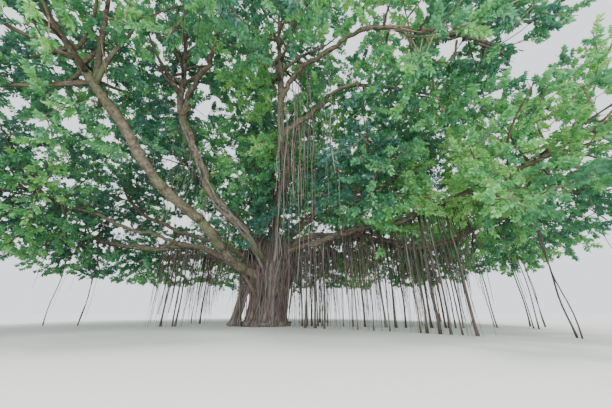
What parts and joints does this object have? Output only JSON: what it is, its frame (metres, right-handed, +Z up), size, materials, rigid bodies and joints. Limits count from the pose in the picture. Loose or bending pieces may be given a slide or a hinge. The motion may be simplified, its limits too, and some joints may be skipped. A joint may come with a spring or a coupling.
{
  "type": "banyan tree",
  "caption": "Banyan tree with a trunk of fused roots, long curving boughs, curtains of hanging and prop roots, and a broad rounded leafy crown.",
  "frame": {"origin": "middle of the flat cut under the trunk, at ground level", "axes": "+Z up along the trunk; +Y away from the picture's viewpoint and +X to its right"},
  "size_m": [26.8645, 26.4835, 13.4244],
  "materials": {
    "bark": "rough mottled brown and mossy bark",
    "hanging_root": "rough reddish brown root bark",
    "foliage": "satin green leaves"
  },
  "bodies": {
    "root": {"bough_back_left": "bark", "bough_back_right": "bark", "bough_centre": "bark", "bough_centre_cross": "bark", "bough_centre_side": "bark", "bough_front_rising": "bark", "bough_inner_front": "bark", "bough_leader": "bark", "bough_left_great": "bark", "bough_left_hanging": "bark", "bough_left_low": "bark", "bough_left_low_fork": "bark", "bough_left_middle": "bark", "bough_right_back": "bark", "bough_right_front": "bark", "bough_right_front_fork": "bark", "bough_right_long": "bark", "bough_right_rear": "bark", "bough_rising_fork": "bark", "bough_upper_back_left": "bark", "bough_upper_back_right": "bark", "bough_upper_left": "bark", "bough_upper_right": "bark", "leaves_back_left_low": "foliage", "leaves_back_low_left": "foliage", "leaves_back_low_right": "foliage", "leaves_front_high": "foliage", "leaves_front_left": "foliage", "leaves_front_right_high": "foliage", "leaves_front_right_inner": "foliage", "leaves_inner_front": "foliage", "leaves_left_front_low": "foliage", "leaves_left_high": "foliage", "leaves_left_low": "foliage", "leaves_right_back_low": "foliage", "leaves_right_front_low": "foliage", "leaves_right_low": "foliage", "leaves_right_low_back": "foliage", "leaves_top": "foliage", "leaves_upper_back_left": "foliage", "leaves_upper_back_right": "foliage", "leaves_upper_front": "foliage", "leaves_upper_front_left": "foliage", "leaves_upper_front_right": "foliage", "leaves_upper_left": "foliage", "leaves_upper_right": "foliage", "roots_back_left": "hanging_root", "roots_back_right": "hanging_root", "roots_centre_long": "hanging_root", "roots_left_hanging_far": "hanging_root", "roots_left_low_bundle": "hanging_root", "roots_right_back": "hanging_root", "roots_right_front_edge": "hanging_root", "roots_right_front_far": "hanging_root", "roots_right_front_near": "hanging_root", "roots_right_near": "hanging_root", "roots_right_pillar": "hanging_root", "roots_right_second": "hanging_root", "roots_right_third": "hanging_root", "trunk": "bark"}
  },
  "joints": []
}
